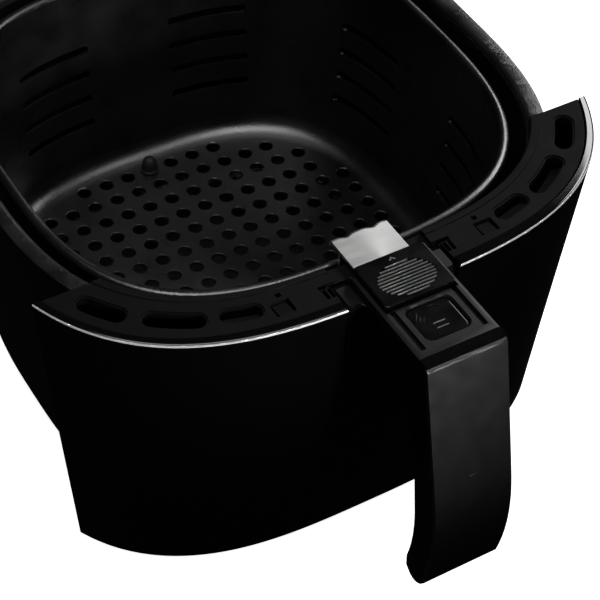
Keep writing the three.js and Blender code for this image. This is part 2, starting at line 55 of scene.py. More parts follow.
# ---- driving dimensions, the same as in the CAD ----
PITCH = 13.5
HOLE_R = 3.6
FLOOR_Z = 40.5
RIM_Z = 160.5
RIM_HALF = 120.5
BEAD_R = 2.5
FLANGE_HALF = 138.5
FLANGE_Z = 164.3
MOUTH_HALF = 130.3
ENDS_Y = -88.5
DECK_Z = 169.4
TRIM_TOP = 170.0
SHELF_Z = 167.0
NOTCH_HALF = 29.0
NOTCH_Y = -138.8
NOTCH_Z = 140.0
PANEL_WALL = 3.0
PANEL_HALF = 158.1
PANEL_FOOT_HALF = 147.5
PANEL_FOOT_DEPTH = 0.955  # of its half width
PAN_WALL = 2.0
PAN_FOOT_HALF = 119.0
PAN_FOOT_Z = 13.0
BASKET_WALL = 1.5
BASKET_LOW_HALF = 111.0
BASKET_LOW_Z = 52.0
HANDLE_HALF = 20.5
BEZEL_Y = (-200.5, -171.0)
HANDLE_TOP = 174.0
BUTTON_Y = -183.1
PLATE_HALF = 14.6
PLATE_Z = (169.3, 171.0)
PIVOT = (-147.0, 158.0)
PEG_Y = 7 * PITCH
SHEET = 1.5  # thickness of the steel pieces
BORE = 1.8  # radius of a hole round a screw's shank or a pin
RIVET = {"x": 9, "z": 132}
KEEPER_SCREW = {"x": 8, "z": 154}
PANEL_SCREW = {"x": 58, "y": -128}
BRACKET_SCREW = {"x": 10.5, "y": -159}


def mix(a, b, t):
    return a + (b - a) * t


# ---- camera ----
def add_camera():
    """Long lens from the front left, tipped a little to one side."""
    azimuth, elevation, roll = (math.radians(a) for a in (-32.036, 45.554, -2.372))
    back = Vector((
        math.sin(azimuth) * math.cos(elevation),
        -math.cos(azimuth) * math.cos(elevation),
        math.sin(elevation)))
    right = (-back).cross(Vector((0, 0, 1))).normalized()
    down = (-back).cross(right)
    x = right * math.cos(roll) + down * math.sin(roll)
    y = right * math.sin(roll) - down * math.cos(roll)
    data = bpy.data.cameras.new("camera")
    data.lens = 118.75
    data.sensor_width = 36
    camera = bpy.data.objects.new("camera", data)
    camera.matrix_world = Matrix.Translation((-0.3657, -0.6549, 0.7864)) @ Matrix(
        (x, y, back)).transposed().to_4x4()
    bpy.context.scene.collection.objects.link(camera)
    bpy.context.scene.camera = camera


# ---- materials ----
class Nodes:
    """A principled material, with short calls for the nodes around it."""

    def __init__(self, name, color, roughness, metallic=0.0, specular=0.5):
        self.material = bpy.data.materials.new(name)
        self.material.use_nodes = True
        self.tree = self.material.node_tree
        self.shader = self.tree.nodes["Principled BSDF"]
        self.set(self.shader, {
            "Base Color": (*color, 1), "Roughness": roughness, "Metallic": metallic,
            "Specular IOR Level": specular})
        self.place = self.tree.nodes.new("ShaderNodeTexCoord").outputs["Object"]
        self.color = color
        self.roughness = roughness

    def set(self, node, values):
        for key, value in values.items():
            node.inputs[key].default_value = value

    def link(self, a, b):
        self.tree.links.new(a, b)

    def noise(self, scale, detail=3.0, stretch=None):
        node = self.tree.nodes.new("ShaderNodeTexNoise")
        self.set(node, {"Scale": scale, "Detail": detail})
        place = self.place
        if stretch:
            mapping = self.tree.nodes.new("ShaderNodeMapping")
            mapping.inputs["Scale"].default_value = stretch
            self.link(self.place, mapping.inputs["Vector"])
            place = mapping.outputs["Vector"]
        self.link(place, node.inputs["Vector"])
        return node.outputs["Fac"]

    def remap(self, value, low, high, from_low=0.3, from_high=0.7):
        node = self.tree.nodes.new("ShaderNodeMapRange")
        self.set(node, {"From Min": from_low, "From Max": from_high, "To Min": low, "To Max": high})
        self.link(value, node.inputs["Value"])
        return node.outputs["Result"]

    def vary_color(self, value, amount):
        node = self.tree.nodes.new("ShaderNodeMix")
        node.data_type = "RGBA"
        node.inputs["A"].default_value = (*[c * (1 - amount) for c in self.color], 1)
        node.inputs["B"].default_value = (*[min(1, c * (1 + amount)) for c in self.color], 1)
        self.link(self.remap(value, 0, 1), node.inputs["Factor"])
        self.link(node.outputs["Result"], self.shader.inputs["Base Color"])

    def vary_roughness(self, value, amount):
        low = max(0.02, self.roughness - amount)
        self.link(self.remap(value, low, self.roughness + amount), self.shader.inputs["Roughness"])

    def bump(self, value, strength, distance):
        node = self.tree.nodes.new("ShaderNodeBump")
        self.set(node, {"Strength": strength, "Distance": distance})
        self.link(value, node.inputs["Height"])
        self.link(node.outputs["Normal"], self.shader.inputs["Normal"])


def nonstick():
    made = Nodes("nonstick_coating", (0.001, 0.001, 0.001), 0.31, specular=1.0)
    grain = made.noise(1300, 2)
    made.vary_color(grain, 0.4)
    made.vary_roughness(made.noise(45, 4), 0.06)
    made.bump(grain, 0.5, 0.00025)
    return made.material


def gloss_black():
    made = Nodes("gloss_black_plastic", (0.0025, 0.0025, 0.0027), 0.07)
    made.vary_roughness(made.noise(35, 5), 0.03)
    made.bump(made.noise(60, 2), 0.02, 0.0004)
    return made.material


def matte_black():
    made = Nodes("textured_black_plastic", (0.0035, 0.0035, 0.0035), 0.6, specular=0.05)
    grain = made.noise(1900, 2)
    made.vary_color(grain, 0.2)
    made.vary_roughness(made.noise(80, 4), 0.05)
    made.bump(grain, 0.25, 0.0001)
    return made.material


def button_black():
    made = Nodes("button_black_plastic", (0.003, 0.003, 0.003), 0.13, specular=0.4)
    made.vary_roughness(made.noise(90, 4), 0.03)
    made.bump(made.noise(2400, 1), 0.02, 0.00006)
    return made.material


# Lighter grey for the guard's ribs and arrow and the button's lines.
def rib_grey():
    made = Nodes("grey_detail_plastic", (0.085, 0.085, 0.085), 0.4, specular=0.5)
    made.vary_color(made.noise(150, 3), 0.12)
    made.vary_roughness(made.noise(300, 3), 0.05)
    return made.material


def guard_black():
    made = Nodes("fine_black_plastic", (0.001, 0.001, 0.001), 0.22, specular=0.2)
    grain = made.noise(2200, 2)
    made.vary_color(grain, 0.2)
    made.vary_roughness(made.noise(70, 4), 0.05)
    made.bump(grain, 0.15, 0.0001)
    return made.material


def gloss_edge():
    made = Nodes("gloss_black_edge", (0.002, 0.002, 0.002), 0.36, specular=0.018)
    made.vary_roughness(made.noise(60, 4), 0.04)
    return made.material


def bezel_black():
    made = Nodes("bezel_black_plastic", (0.005, 0.005, 0.005), 0.4, specular=0.22)
    made.vary_roughness(made.noise(120, 4), 0.05)
    made.vary_color(made.noise(30, 4), 0.1)
    made.bump(made.noise(2600, 1), 0.08, 0.00006)
    return made.material


def satin_black():
    made = Nodes("satin_black_plastic", (0.008, 0.008, 0.0083), 0.4, specular=1.0)
    made.vary_roughness(made.noise(120, 4), 0.04)
    made.vary_color(made.noise(25, 4), 0.08)
    made.bump(made.noise(2600, 1), 0.08, 0.00006)
    return made.material


def brushed_steel():
    made = Nodes("brushed_steel", (0.6, 0.6, 0.595), 0.42, metallic=1.0)
    made.shader.inputs["Anisotropic"].default_value = 0.4
    brushing = made.noise(900, 3, stretch=(0.05, 3.0, 1.0))
    made.vary_color(made.noise(30, 3), 0.06)
    made.vary_roughness(brushing, 0.07)
    made.bump(brushing, 0.05, 0.00003)
    return made.material


def screw_steel():
    made = Nodes("plated_steel", (0.33, 0.33, 0.32), 0.32, metallic=1.0)
    made.vary_roughness(made.noise(300, 4), 0.08)
    made.vary_color(made.noise(200, 3), 0.12)
    return made.material


def silicone():
    made = Nodes("black_silicone", (0.008, 0.008, 0.008), 0.62, specular=0.35)
    made.vary_roughness(made.noise(400, 3), 0.08)
    made.bump(made.noise(900, 3), 0.1, 0.0001)
    return made.material


# ---- mesh helpers ----
def make(name, parts, material):
    """One mesh object from (verts, faces) parts in millimetres, faces turned outwards."""
    mesh = bpy.data.meshes.new(name)
    verts = []
    faces = []
    for part_verts, part_faces in parts:
        base = len(verts)
        verts.extend(tuple(c * MM for c in v) for v in part_verts)
        faces.extend(tuple(base + i for i in f) for f in part_faces)
    mesh.from_pydata(verts, [], faces)
    work = bmesh.new()
    work.from_mesh(mesh)
    bmesh.ops.recalc_face_normals(work, faces=work.faces)
    work.to_mesh(mesh)
    work.free()
    if material:
        mesh.materials.append(material)
    piece = bpy.data.objects.new(name, mesh)
    bpy.context.scene.collection.objects.link(piece)
    return piece


def loft(loops, wrap=False):
    """Skins a list of equal closed loops, capped at both ends or joined round into a ring."""
    count = len(loops[0])
    verts = [v for loop in loops for v in loop]
    faces = []
    for i in range(len(loops) if wrap else len(loops) - 1):
        a = i * count
        b = (i + 1) % len(loops) * count
        for j in range(count):
            k = (j + 1) % count
            faces.append((a + j, a + k, b + k, b + j))
    if not wrap:
        faces.append(tuple(range(count)))
        faces.append(tuple(range(len(verts) - count, len(verts))))
    return verts, faces


def fillet(corners, steps=5, closed=True):
    """Rounds the corners of an outline: each corner is (u, v) or (u, v, radius)."""
    out = []
    for i, corner in enumerate(corners):
        point = Vector(corner[:2])
        radius = corner[2] if len(corner) > 2 else 0
        if not radius or (not closed and i in (0, len(corners) - 1)):
            out.append(tuple(point))
            continue
        before = (Vector(corners[i - 1][:2]) - point).normalized()
        after = (Vector(corners[(i + 1) % len(corners)][:2]) - point).normalized()
        half = before.angle(after) / 2
        centre = point + (before + after).normalized() * radius / math.sin(half)
        start = point + before * radius / math.tan(half) - centre
        end = point + after * radius / math.tan(half) - centre
        turn = math.atan2(start.x * end.y - start.y * end.x, start.dot(end))
        for k in range(steps + 1):
            a = turn * k / steps
            out.append((
                centre.x + start.x * math.cos(a) - start.y * math.sin(a),
                centre.y + start.x * math.sin(a) + start.y * math.cos(a)))
    return out


def polar(a, b, power, angle):
    """Distance from the middle to a rounded square's edge."""
    return (abs(math.cos(angle) / a) ** power + abs(math.sin(angle) / b) ** power) ** (-1 / power)


def ring(profile, power=lambda z: 3.0, steps=256):
    """Rounded-square solid from an open profile of (half width, z) that is capped at both ends."""
    loops = []
    for half, z in profile:
        loop = []
        for i in range(steps):
            angle = 2 * math.pi * i / steps
            r = polar(half, half, power(z), angle)
            loop.append((r * math.cos(angle), r * math.sin(angle), z))
        loops.append(loop)
    return loft(loops)


def crescent(section, steps=220):
    """Solid round the front from a closed section of (radius at an angle, z), ending on one plane."""
    ends = []
    for radius, _ in section:
        low, high = 0.0, math.pi / 2
        for _ in range(40):
            middle = (low + high) / 2
            if radius(-middle) * math.sin(middle) < -ENDS_Y:
                low = middle
            else:
                high = middle
        ends.append(low)
    loops = []
    for i in range(steps + 1):
        loop = []
        for (radius, z), end in zip(section, ends):
            angle = mix(-math.pi + end, -end, i / steps)
            r = radius(angle)
            loop.append((r * math.cos(angle), r * math.sin(angle), z))
        loops.append(loop)
    return loft(loops)


def side(outline, span):
    """Solid from an outline of (y, z) between two places along x."""
    return loft([[(x, y, z) for y, z in outline] for x in span])


def plan(outline, levels):
    """Solid from an outline of (x, y): levels are (z, growth outwards) from bottom to top."""
    cx = sum(p[0] for p in outline) / len(outline)
    cy = sum(p[1] for p in outline) / len(outline)
    loops = []
    for z, growth in levels:
        loop = []
        for i, (x, y) in enumerate(outline):
            if growth:
                a = Vector(outline[i - 1])
                b = Vector(outline[(i + 1) % len(outline)])
                out = Vector((b.y - a.y, a.x - b.x)).normalized()
                if out.dot(Vector((x - cx, y - cy))) < 0:
                    out = -out
                x, y = x + out.x * growth, y + out.y * growth
            loop.append((x, y, z))
        loops.append(loop)
    return loft(loops)


def box(xs, ys, zs):
    return plan([(xs[0], ys[0]), (xs[1], ys[0]), (xs[1], ys[1]), (xs[0], ys[1])], [(zs[0], 0), (zs[1], 0)])


def rounded_rect(half_x, half_y, radius, centre=(0, 0), steps=6):
    x, y = centre
    corners = [(x - half_x, y - half_y, radius), (x + half_x, y - half_y, radius),
               (x + half_x, y + half_y, radius), (x - half_x, y + half_y, radius)]
    return fillet(corners, steps)


def turned(profile, start, axis, sides=32):
    """Round solid: profile of (radius, distance along the axis), capped at both ends."""
    axis = Vector(axis).normalized()
    u = axis.orthogonal().normalized()
    v = axis.cross(u)
    loops = []
    for radius, along in profile:
        middle = Vector(start) + axis * along
        loop = []
        for i in range(sides):
            a = 2 * math.pi * i / sides
            loop.append(tuple(middle + u * radius * math.cos(a) + v * radius * math.sin(a)))
        loops.append(loop)
    return loft(loops)


def bore(start, axis, length, radius=BORE, sides=24):
    """Plain round rod, used to cut a hole."""
    return turned([(radius, 0), (radius, length)], start, axis, sides)


def ball(centre, radius, rings=20):
    profile = [(radius * math.sin(math.pi * i / rings), -radius * math.cos(math.pi * i / rings))
               for i in range(rings + 1)]
    profile[0] = (0.01, -radius)
    profile[-1] = (0.01, radius)
    return turned(profile, centre, (0, 0, 1), 40)


def apply_modifiers(piece):
    graph = bpy.context.evaluated_depsgraph_get()
    mesh = bpy.data.meshes.new_from_object(piece.evaluated_get(graph), depsgraph=graph)
    old = piece.data
    piece.modifiers.clear()
    piece.data = mesh
    bpy.data.meshes.remove(old)


def apply_boolean(piece, tool, operation):
    modifier = piece.modifiers.new("combine", "BOOLEAN")
    modifier.operation = operation
    modifier.solver = "MANIFOLD"
    modifier.object = tool
    apply_modifiers(piece)
    bpy.data.objects.remove(tool)


def combine(piece, parts, operation="DIFFERENCE"):
    """Cuts the parts from a piece, or joins them to it."""
    apply_boolean(piece, make("tool", parts, None), operation)


def bevel(piece, width, segments=3, angle=35):
    modifier = piece.modifiers.new("bevel", "BEVEL")
    modifier.width = width * MM
    modifier.segments = segments
    modifier.limit_method = "ANGLE"
    modifier.angle_limit = math.radians(angle)
    modifier.harden_normals = False
    apply_modifiers(piece)


def settle(piece, body, nodes, angle=32):
    """Shading, body and the CAD nodes that a finished piece stands for."""
    piece.data.shade_smooth()
    piece.data.set_sharp_from_angle(angle=math.radians(angle))
    modifier = piece.modifiers.new("weighted", "WEIGHTED_NORMAL")
    modifier.keep_sharp = True
    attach(piece, body)
    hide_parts(*nodes)


# ---- shapes that several pieces share ----
def panel_half(z):
    return mix(PANEL_FOOT_HALF, PANEL_HALF, z / TRIM_TOP)


def panel_depth(z):
    return panel_half(z) * mix(PANEL_FOOT_DEPTH, 1.0, z / TRIM_TOP)


def basket_power(z):
    return mix(2.9, 2.95, min(1, max(0, (z - FLOOR_Z) / (RIM_Z - FLOOR_Z))))


def basket_half(z):
    return mix(BASKET_LOW_HALF, RIM_HALF - BEAD_R, (z - BASKET_LOW_Z) / (RIM_Z - BEAD_R - BASKET_LOW_Z))


def pan_half(z):
    return mix(PAN_FOOT_HALF, MOUTH_HALF + 1.5, (z - PAN_FOOT_Z) / (FLANGE_Z - PAN_FOOT_Z))


def lip(angle):
    """Width of the glossy lip between the trim and the panel's edge, wider at the front."""
    return mix(3.5, 5.9, abs(math.sin(angle)) ** 3)


def panel_radius(inset, z):
    """Distance from the middle to the panel's surface less an inset, as a function of the angle."""
    return lambda angle: polar(panel_half(z) - inset, panel_depth(z) - inset, 3, angle)


def lip_radius(extra, z):
    """The same to the lip's inner edge, less a little extra."""
    return lambda angle: polar(panel_half(z), panel_depth(z), 3, angle) - lip(angle) - extra


# ---- outer pan ----
DIMPLE = {"at": 93.8, "z": 26, "inner": 18.6, "outer": 16.6}


def make_pan(material):
    outside = fillet([
        (90, 0), (117.9, 0, 12), (pan_half(162.3), 162.3, 1.2), (FLANGE_HALF, 162.3, 0.7),
        (FLANGE_HALF, FLANGE_Z, 0.9), (90, FLANGE_Z)], closed=False)
    inside = fillet([
        (90, PAN_WALL), (115.9, PAN_WALL, 10.5), (pan_half(162.6) - PAN_WALL, 162.6, 2.5),
        (MOUTH_HALF + 2.6, FLANGE_Z + 0.3),
        (MOUTH_HALF + 2.6, 172), (90, 172)], closed=False)
    hollow = make("hollow", [ring(inside)], None)
    corners = [(sx * DIMPLE["at"], sy * DIMPLE["at"], DIMPLE["z"]) for sx in (-1, 1) for sy in (-1, 1)]
    combine(hollow, [ball(c, DIMPLE["inner"]) for c in corners])
    pan = make("pan", [ring(outside)], material)
    apply_boolean(pan, hollow, "DIFFERENCE")
    combine(pan, [ball(c, DIMPLE["outer"]) for c in corners])
    settle(pan, "pan", ["outer_pan"])


# ---- front panel ----
END_WALL = {"thickness": 2.5, "z": (4, 157.5), "gap": 0.6}


def edge_x(a, b, y):
    """Half width at y of a rounded square with these half sides."""
    return a * (1 - (abs(y) / b) ** 3) ** (1 / 3)


def end_wall(sx):
    """Closes the space between the panel and the pan at one end."""
    near, far = ENDS_Y, ENDS_Y - END_WALL["thickness"]
    loops = []
    for k in range(33):
        z = mix(*END_WALL["z"], k / 32)
        pan = max(PAN_FOOT_HALF, pan_half(z)) + END_WALL["gap"]
        loop = []
        for y, inner in ((near, True), (near, False), (far, False), (far, True)):
            x = edge_x(pan, pan, y) if inner else edge_x(panel_half(z) - 1, panel_depth(z) - 1, y)
            loop.append((sx * x, y, z))
        loops.append(loop)
    return loft(loops)


LIP_INSET = 5.0
FOOT_FLANGE = {"z": (4, 6.5), "width": 14}


def make_panel(material, edge_material):
    """Curved shell; its rounded top edge has the duller second material."""
    low, high = FOOT_FLANGE["z"]
    reach = FOOT_FLANGE["width"]
    corners = [
        (0, 0, 1.0), (0, TRIM_TOP, 1.5), (LIP_INSET, TRIM_TOP, 0.5), (LIP_INSET, 167.6),
        (PANEL_WALL, 165.4, 1), (PANEL_WALL, high), (reach, high, 0.6), (reach, low, 0.6), (PANEL_WALL, low),
        (PANEL_WALL, 0)]
    section = []
    for inset, z in fillet(corners, 6):
        on_lip = z > 166.8 and inset > LIP_INSET - 0.6
        radius = lip_radius(inset - LIP_INSET, z) if on_lip else panel_radius(inset, z)
        section.append((radius, z))
    panel = make("panel", [crescent(section)], material)
    notch = fillet([(-NOTCH_HALF, NOTCH_Z, 3), (NOTCH_HALF, NOTCH_Z, 3), (NOTCH_HALF, 168.4),
                    (NOTCH_HALF + 1.6, 171), (NOTCH_HALF + 1.6, 175), (-NOTCH_HALF - 1.6, 175),
                    (-NOTCH_HALF - 1.6, 171), (-NOTCH_HALF, 168.4)], 5)
    combine(panel, [loft([[(x, y, z) for x, z in notch] for y in (-175, -120)])])
    combine(panel, [end_wall(-1), end_wall(1)], "UNION")
    panel.data.materials.append(edge_material)
    for face in panel.data.polygons:
        x, y, z = (c / MM for c in face.center)
        edge = polar(panel_half(z), panel_depth(z), 3, math.atan2(y, x))
        if z > 168.5 and edge - math.hypot(x, y) < 0.55:
            face.material_index = 1
    settle(panel, "pan", ["front_panel"], 40)


# ---- top trim ----
TRIM_WIDTH = 24.5
VENTS = ((123.4, -105.4, 23.6), (98.6, -126.4, 28.0), (71.1, -136.6, 19.5))
VENT_WIDTH = 8.5
WINDOW = (53.5, -142.0, 9.5, 8.4)
SMALL_HOLE = (51.7, -134.6, 2.6)
RIB_POCKET_X = (26.8, 34.4)
RIB_POCKET_Y = (-147.6, -141.0)


def trim_radius(place, z):
    """The same to a place across the trim, from 0 at the pan's mouth to TRIM_WIDTH at the lip."""
    outer = lip_radius(GAP, z)
    return lambda angle: mix(polar(MOUTH_HALF, MOUTH_HALF, 3, angle), outer(angle), place / TRIM_WIDTH)


def bend(x, y, along, across):
    """A place beside (x, y), along and across the rounded square through it."""
    half = (abs(x) ** 3 + abs(y) ** 3) ** (1 / 3)
    normal = Vector((x * abs(x), y * abs(y))).normalized()
    tangent = Vector((-normal.y, normal.x))
    curve = 2 * abs(x * y) * half ** 3 / (x ** 4 + y ** 4) ** 1.5
    turn = curve * along
    reach = 1 / curve + across
    spot = Vector((x, y)) + tangent * reach * math.sin(turn) + normal * (reach * math.cos(turn) - 1 / curve)
    return spot.x, spot.y


def slot_cutter(x, y, length, width, levels):
    """Round-ended slot that follows the trim: levels are (z, growth)."""
    loops = []
    straight = (length - width) / 2
    for z, growth in levels:
        r = width / 2 + growth
        local = []
        for end in (1, -1):
            for k in range(13):
                a = -math.pi / 2 + math.pi * k / 12
                local.append((end * (straight + r * math.cos(a)), end * r * math.sin(a)))
            for k in range(1, 6):
                local.append((end * (straight - 2 * straight * k / 6), end * r))
        loops.append([(*bend(x, y, u, v), z) for u, v in local])
    return loft(loops)


def slot_ramp(x, y, length, width, outer_z, inner_z):
    """Sloping tab that closes the outer part of a vent."""
    loops = []
    for k in range(9):
        u = mix(-length / 2, length / 2, k / 8)
        loops.append([
            (*bend(x, y, u, width / 2), outer_z), (*bend(x, y, u, -width / 6), inner_z),
            (*bend(x, y, u, -width / 6), inner_z - 1.5), (*bend(x, y, u, width / 2), outer_z - 4)])
    return loft(loops)


def centred(middle, size):
    return middle - size / 2, middle + size / 2


def mirrored(sx, near, far):
    """A span of x on one side of the middle, low end first."""
    return sorted((sx * near, sx * far))


def trim_details(sx):
    """What is cut from one side of the trim, and the tabs that are added to it."""
    rim = [(150, 0), (DECK_Z - 0.75, 0), (DECK_Z - 0.7, 0.75), (DECK_Z - 0.1, 0.85), (DECK_Z + 1, 1.6)]
    holes = [slot_cutter(sx * x, y, length, VENT_WIDTH, rim) for x, y, length in VENTS]
    _, middle_vent, last_vent = VENTS
    x, y, length = last_vent
    tabs = [slot_ramp(sx * x, y, length - 3, VENT_WIDTH + 0.6, DECK_Z - 0.9, 165.4)]
    x, y, length = middle_vent
    tabs.append(slot_ramp(sx * x, y, length - 5, VENT_WIDTH + 0.6, 165.8, 162.4))

    x, y, wide, deep = WINDOW
    window = rounded_rect(wide / 2, deep / 2, 0.5, (sx * x, y), 3)
    holes.append(plan(window, [(150, 0), (DECK_Z - 0.3, 0), (DECK_Z + 1, 0.7)]))
    near, far = y - deep / 2 - 0.4, y + deep / 2 - 0.6
    hook = [(near, DECK_Z - 0.3), (far, 167.9), (far, 164.6), (near, 164.6)]
    tabs.append(side(hook, centred(sx * x, wide - 2.6)))
    x, y, size = SMALL_HOLE
    holes.append(box(centred(sx * x, size), centred(y, size), (150, 180)))

    pocket_floor = SHELF_Z - 0.6
    for k in range(3):
        near = RIB_POCKET_X[0] + k * 2.6
        holes.append(box(mirrored(sx, near, near + 1.9), RIB_POCKET_Y, (pocket_floor, 180)))
    behind = (RIB_POCKET_Y[1] - 0.3, RIB_POCKET_Y[1] + 2.2)
    holes.append(box(mirrored(sx, *RIB_POCKET_X), behind, (pocket_floor, 180)))

    near, far = (edge_x(half, half, ENDS_Y) for half in (FLANGE_HALF + 0.6, MOUTH_HALF + 21))
    tabs.append(box(mirrored(sx, near, far), (ENDS_Y - 2.5, ENDS_Y - GAP), (158.2, 165.5)))
    return holes, tabs


def make_trim(material):
    profile = fillet([
        (0, 165.2, 0.4), (0, TRIM_TOP, 0.9), (3.7, TRIM_TOP, 0.4), (4.2, DECK_Z, 0.3),
        (TRIM_WIDTH, DECK_Z, 0.7), (TRIM_WIDTH, 166.6), (21.5, 158), (19.5, 158), (19, 165.2)], 4)
    trim = make("trim", [crescent([(trim_radius(u, z), z) for u, z in profile])], material)
    cuts = [
        box((-NOTCH_HALF - 0.2, NOTCH_HALF + 0.2), (-200, NOTCH_Y), (100, 200)),
        box((-PLATE_HALF - 1, PLATE_HALF + 1), (-127.4, -100), (100, 200))]
    combine(trim, cuts)
    combine(trim, [box((-NOTCH_HALF + 3.4, NOTCH_HALF - 3.4), (-200, -100), (SHELF_Z, 200))])
    holes = []
    tabs = []
    for sx in (-1, 1):
        more_holes, more_tabs = trim_details(sx)
        holes += more_holes
        tabs += more_tabs
    combine(trim, holes)
    combine(trim, tabs, "UNION")
    settle(trim, "pan", ["top_trim"], 30)


# ---- basket ----
FLOOR_REACH = (7, 7, 7, 7, 6, 6, 5, 3)
SLOT_LEVELS = (73, 89, 105, 121)
SLOT_SPAN = (24, 68)
SLOT_HEIGHT = 5.0


def basket_profile():
    """From the middle of the underside round the rolled rim to the middle of the floor."""
    bead_z = RIM_Z - BEAD_R
    outside = fillet([
        (90, FLOOR_Z - BASKET_WALL), (basket_half(FLOOR_Z) + BASKET_WALL, FLOOR_Z - BASKET_WALL, 13.0),
        (basket_half(152) + BASKET_WALL, 152, 2), (RIM_HALF + 1.2, 155.6)], 8, closed=False)
    bead = []
    for k in range(17):
        a = math.radians(mix(-65, 178, k / 16))
        bead.append((RIM_HALF + BEAD_R * math.cos(a), bead_z + BEAD_R * math.sin(a)))
    inside = fillet([
        (basket_half(155), 155.2), (basket_half(FLOOR_Z), FLOOR_Z, 11), (90, FLOOR_Z)], 12, closed=False)
    return outside + bead + inside


def floor_holes():
    profile = [(HOLE_R + growth, height) for growth, height in (
        (0, -6), (0, -0.75), (0.12, -0.4), (0.42, -0.1), (0.9, 0.3))]
    cuts = []
    for row in range(-7, 8):
        reach = FLOOR_REACH[abs(row)]
        for column in range(-reach, reach + 1):
            if abs(row) == 7 and column == 0:
                continue
            cuts.append(turned(profile, (column * PITCH, row * PITCH, FLOOR_Z), (0, 0, 1), 24))
    return cuts


def wall_slots():
    middle = (SLOT_SPAN[0] + SLOT_SPAN[1]) / 2
    half = (SLOT_SPAN[1] - SLOT_SPAN[0]) / 2
    cuts = []
    for z in SLOT_LEVELS:
        for along in (-middle, middle):
            outline = rounded_rect(half, SLOT_HEIGHT / 2, 2.2, (along, z))
            for a, b in ((-135, -85), (85, 135)):
                cuts.append(loft([[(u, w, v) for u, v in outline] for w in (a, b)]))
                cuts.append(loft([[(w, u, v) for u, v in outline] for w in (a, b)]))
    return cuts


def make_basket(material):
    basket = make("perforated_basket", [ring(basket_profile(), basket_power, 288)], material)
    combine(basket, floor_holes())
    combine(basket, wall_slots())
    settle(basket, "basket", ["basket"], 38)


def make_bumper(sy, node, material):
    profile = [
        (0.01, 35.5), (5.2, 35.5), (6.0, 36.0), (6.4, 37), (6.5, 38.2), (6.2, 38.6), (3.5, 38.7),
        (3.5, 40.8), (4.7, 40.9), (5.0, 41.3), (4.8, 41.8), (4.3, 42.1), (4.2, 42.6), (4.2, 45.4),
        (4.0, 46.6),
        (3.3, 48.1), (2.4, 49.1), (1.2, 49.5), (0.01, 49.5)]
    bumper = make("stud_" + node, [turned(profile, (0, sy * PEG_Y, 0), (0, 0, 1), 40)], material)
    settle(bumper, "basket", [node], 50)


# ---- fasteners ----
def make_screw(node, start, axis, body, length, material, radius=3.2):
    """Pan-head screw with a cross recess, its head standing on the start point."""
    axis = Vector(axis)
    profile = [(1.2, length), (1.5, length - 0.6), (1.5, 0.1), (radius, 0), (radius, -0.7)]
    for k in range(1, 7):
        a = math.pi / 2 * k / 6
        profile.append((max(0.01, radius * math.cos(a)), -0.7 - 1.25 * math.sin(a)))
    screw = make("fastener_" + node, [turned(profile, start, axis, 36)], material)
    u = axis.orthogonal().normalized()
    v = axis.cross(u)
    top = Vector(start) - axis * 2.4
    for a, b in ((u, v), (v, u)):
        loops = []
        for depth, shrink in ((0, 1.0), (1.5, 0.45)):
            middle = top + axis * depth
            loops.append([tuple(middle + a * sa * 1.9 * shrink + b * sb * 0.4)
                          for sa, sb in ((-1, -1), (1, -1), (1, 1), (-1, 1))])
        combine(screw, [loft(loops)])
    settle(screw, body, [node], 35)


SCREW_HEAD = 2
SCREW_RING = 135.4


def make_fasteners(material):
    for number, x in enumerate((-112, -60, 60, 112), 1):
        y = -SCREW_RING * (1 - abs(x / SCREW_RING) ** 3) ** (1 / 3)
        low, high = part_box(f"trim_screw_{number}")
        make_screw(f"trim_screw_{number}", (x, y, low[2] / MM + SCREW_HEAD), (0, 0, 1), "pan",
                   (high[2] - low[2]) / MM - SCREW_HEAD, material)
    for name, sx in (("left", -1), ("right", 1)):
        low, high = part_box(f"keeper_screw_{name}")
        start = (sx * KEEPER_SCREW["x"], low[1] / MM + SCREW_HEAD, KEEPER_SCREW["z"])
        make_screw(f"keeper_screw_{name}", start, (0, 1, 0), "pan", 3.8, material)
        low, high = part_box(f"panel_screw_{name}")
        start = (sx * PANEL_SCREW["x"], PANEL_SCREW["y"], low[2] / MM + SCREW_HEAD)
        make_screw(f"panel_screw_{name}", start, (0, 0, 1), "pan",
                   (high[2] - low[2]) / MM - SCREW_HEAD, material)
        low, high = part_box(f"bracket_screw_{name}")
        start = (sx * BRACKET_SCREW["x"], BRACKET_SCREW["y"], high[2] / MM - SCREW_HEAD)
        make_screw(f"bracket_screw_{name}", start, (0, 0, -1), "basket",
                   (high[2] - low[2]) / MM - SCREW_HEAD, material)
    for name in ("upper", "lower"):
        low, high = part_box(f"grip_screw_{name}")
        z = (low[2] + high[2]) / 2 / MM
        make_screw(f"grip_screw_{name}", (0, high[1] / MM - SCREW_HEAD, z), (0, -1, 0), "basket",
                   (high[1] - low[1]) / MM - SCREW_HEAD, material, 3.0)


def make_rivet(node, sx, material):
    low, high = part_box(node)
    near, far = high[1] / MM, low[1] / MM
    dome = [(3.2 * math.cos(a), 1.3 * math.sin(a)) for a in (math.pi / 2 * k / 6 for k in range(7))]
    profile = [(max(0.01, r), 1.3 - h) for r, h in reversed(dome)]
    length = near - far
    profile += [(1.6, 1.4), (1.6, length - 1.4)]
    profile += [(max(0.01, r), length - 1.3 + h) for r, h in dome]
    start = (sx * RIVET["x"], near, RIVET["z"])
    rivet = make("rivet_" + node, [turned(profile, start, (0, -1, 0), 32)], material)
    settle(rivet, "basket", [node], 40)


# ---- steel pieces ----
def plate_edge(x):
    """How far the bracket's inner edge is drawn back by its two shallow dips."""
    return sum(1.5 * math.exp(-((x - c) / 2.6) ** 2) for c in (-7, 7)) + 0.5 * (abs(x) / PLATE_HALF) ** 6


